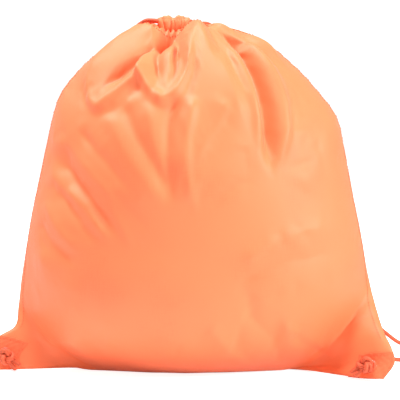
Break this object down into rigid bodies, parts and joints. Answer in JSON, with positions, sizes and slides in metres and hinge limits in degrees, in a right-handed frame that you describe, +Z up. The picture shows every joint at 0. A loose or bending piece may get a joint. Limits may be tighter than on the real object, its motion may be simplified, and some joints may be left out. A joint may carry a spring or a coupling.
{
  "type": "drawstring sack",
  "caption": "Filled drawstring sack of woven cloth, mouth cinched by two drawcords that run to knotted eyelets in the reinforced bottom corners.",
  "frame": {"origin": "on the ground, under the middle of the sack's box without its free strands", "axes": "+Z up to the mouth, +X towards the right bottom corner as seen from the front, -Y out of the front panel"},
  "size_m": [0.4427, 0.2099, 0.3265],
  "materials": {
    "cloth": "plain woven polyester, slight sheen, bright orange",
    "patch": "doubled polyester cloth, deeper orange",
    "seam": "overlocked cloth edges",
    "cord": "braided polyester cord, red orange",
    "eyelet": "orange lacquered eyelet"
  },
  "bodies": {
    "sack": {"front_panel": "cloth", "back_panel": "cloth", "front_casing": "cloth", "back_casing": "cloth", "left_side_seam": "seam", "right_side_seam": "seam", "bottom_seam": "seam", "left_front_patch": "patch", "left_back_patch": "patch", "right_front_patch": "patch", "right_back_patch": "patch", "left_eyelet": "eyelet", "left_eyelet_washer": "eyelet", "right_eyelet": "eyelet", "right_eyelet_washer": "eyelet", "left_drawcord": "cord", "right_drawcord": "cord"},
    "left_strap": {"left_strand_a": "cord", "left_strand_b": "cord"},
    "right_strap": {"right_strand_a": "cord", "right_strand_b": "cord"},
    "left_knot": {"left_knot": "cord", "left_cord_end_a": "cord", "left_cord_end_b": "cord"},
    "right_knot": {"right_knot": "cord", "right_cord_end_a": "cord", "right_cord_end_b": "cord"}
  },
  "joints": [
    {"name": "left_strap_swing", "type": "hinge", "parent": "sack", "child": "left_strap", "pos_m": [-0.16824, -0.00693, 0.01468], "axis": [0.4287, 0.0204, 0.9032], "range_deg": [0, 60], "deforming": ["left_strand_a", "left_strand_b"]},
    {"name": "right_strap_swing", "type": "hinge", "parent": "sack", "child": "right_strap", "pos_m": [0.16832, -0.04414, 0.00921], "axis": [0.4791, -0.1248, -0.8688], "range_deg": [0, 60], "deforming": ["right_strand_a", "right_strand_b"]},
    {"name": "left_knot_slide", "type": "slide", "parent": "sack", "child": "left_knot", "axis": [0.1777, -0.9594, 0.2191], "range_m": [0, 0.005]},
    {"name": "right_knot_slide", "type": "slide", "parent": "sack", "child": "right_knot", "axis": [-0.463, -0.7489, 0.4742], "range_m": [0, 0.005]}
  ]
}
